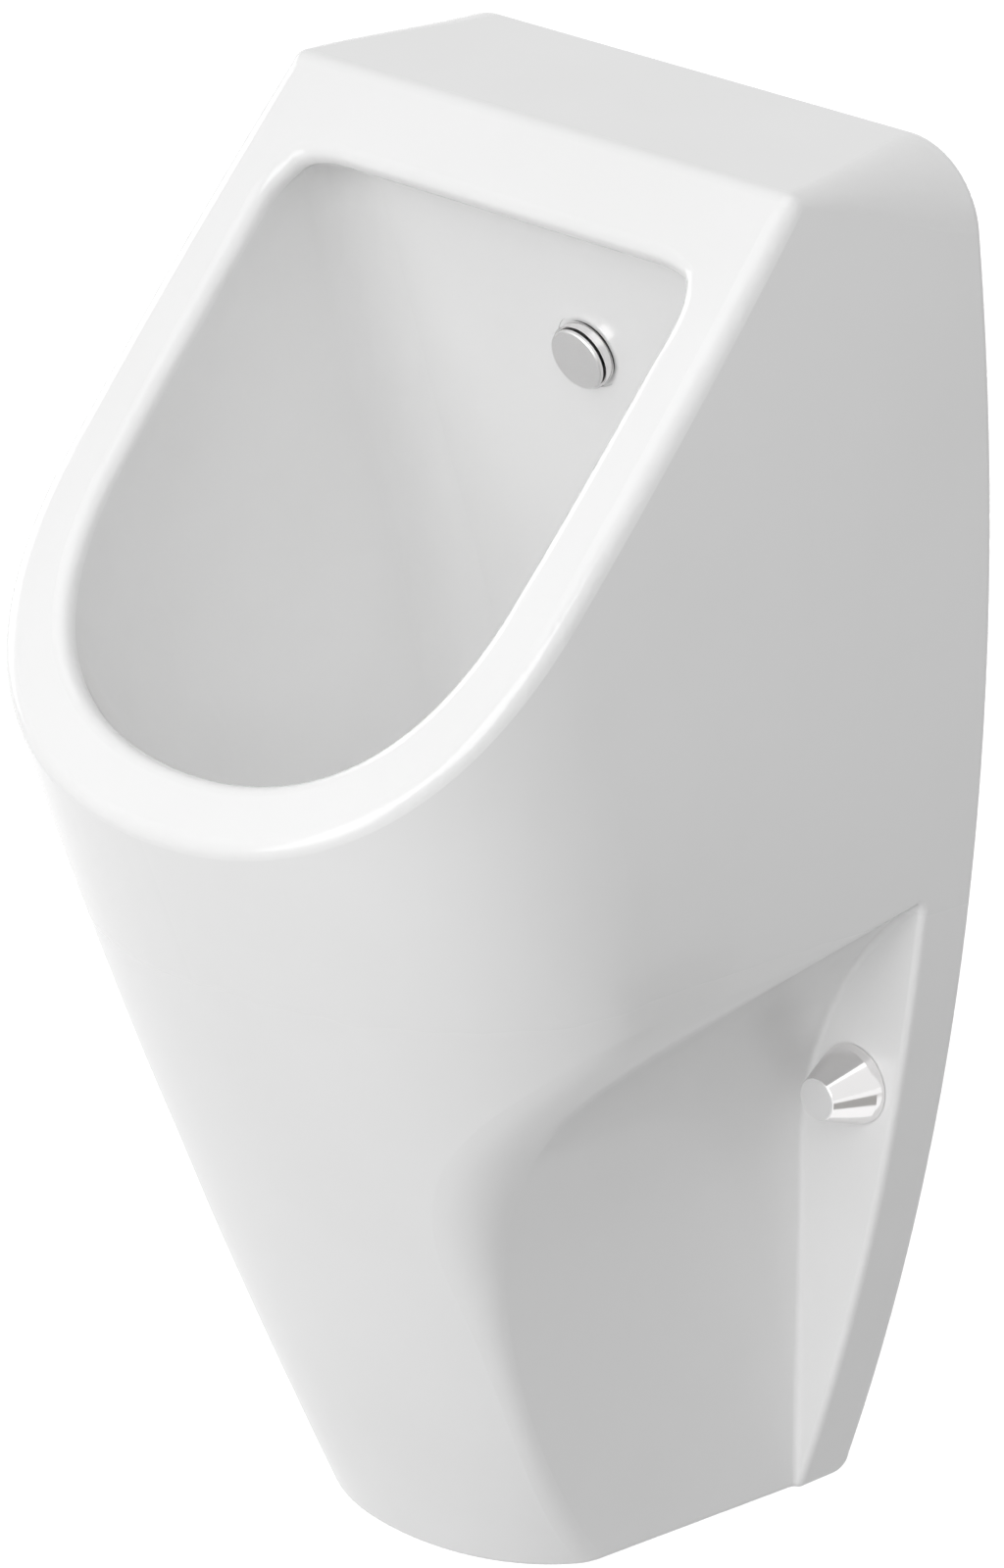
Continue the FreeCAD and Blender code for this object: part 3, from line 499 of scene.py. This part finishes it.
def facing(where, target):
    """The turn with which a lamp or camera at where faces target."""
    return (Vector(target) - Vector(where)).to_track_quat("-Z", "Y").to_euler()


def add_lamp(name, where, target, size, watts):
    """A square soft lamp that shines at target."""
    lamp = bpy.data.lights.new(name, "AREA")
    lamp.shape = "SQUARE"
    lamp.size = size
    lamp.energy = watts
    holder = bpy.data.objects.new(name, lamp)
    holder.location = where
    holder.rotation_euler = facing(where, target)
    bpy.context.collection.objects.link(holder)


def add_overhead(strength):
    """An even, soft light from above, so that the floor is lit alike near and far."""
    spread, tilt = math.radians(60), math.radians(12)
    light = bpy.data.lights.new("overhead", "SUN")
    light.energy = strength
    light.angle = spread
    holder = bpy.data.objects.new("overhead", light)
    holder.rotation_euler = (tilt, 0, 0)
    bpy.context.collection.objects.link(holder)


def add_camera(settings):
    """The camera of the photograph."""
    view = bpy.data.cameras.new("camera")
    view.sensor_fit = "VERTICAL"
    view.sensor_height = 24.0
    view.lens = settings.lens
    view.clip_end = 100.0
    camera = bpy.data.objects.new("camera", view)
    camera.location = settings.camera
    camera.rotation_euler = facing(settings.camera, settings.target)
    bpy.context.collection.objects.link(camera)
    bpy.context.scene.camera = camera


class SetStage(bpy.types.Operator):
    """Add the floor, the card, the light and the camera"""

    bl_idname = "urinal.set_stage"
    bl_label = "Stage"

    def execute(self, context):
        settings = context.scene.urinal_stage
        context.scene.view_settings.view_transform = "Standard"
        white_room(settings)
        add_floor(settings.floor_level)
        add_card(settings.card_low, settings.card_high)
        for name, where, watts in LAMPS:
            add_lamp(name, where, settings.target, settings.lamp_size, getattr(settings, watts))
        add_overhead(settings.overhead)
        add_camera(settings)
        return {"FINISHED"}


class UrinalPanel(bpy.types.Panel):
    """Lists the steps and their settings in the 3D view's sidebar"""

    bl_idname = "VIEW3D_PT_urinal"
    bl_label = "Urinal"
    bl_space_type = "VIEW_3D"
    bl_region_type = "UI"
    bl_category = "Urinal"

    def draw(self, context):
        for step in steps:
            self.layout.operator(step.bl_idname)
        for group in groups:
            settings = getattr(context.scene, group)
            box = self.layout.box()
            box.label(text=settings.__doc__)
            for name in settings.__annotations__:
                box.prop(settings, name)


groups = {
    "urinal_china": ChinaSettings,
    "urinal_metal": MetalSettings,
    "urinal_plastic": PlasticSettings,
    "urinal_stage": StageSettings,
}
steps = (DressChina, DressSprayHead, DressOutlet, DressFixings, SetStage)


def register():
    for name, group in groups.items():
        bpy.utils.register_class(group)
        setattr(bpy.types.Scene, name, bpy.props.PointerProperty(type=group))
    for step in steps:
        bpy.utils.register_class(step)
    bpy.utils.register_class(UrinalPanel)


def unregister():
    bpy.utils.unregister_class(UrinalPanel)
    for step in reversed(steps):
        bpy.utils.unregister_class(step)
    for name, group in groups.items():
        delattr(bpy.types.Scene, name)
        bpy.utils.unregister_class(group)


def main():
    register()
    for step in steps:
        section, name = step.bl_idname.split(".")
        getattr(getattr(bpy.ops, section), name)()


if __name__ == "__main__":
    main()
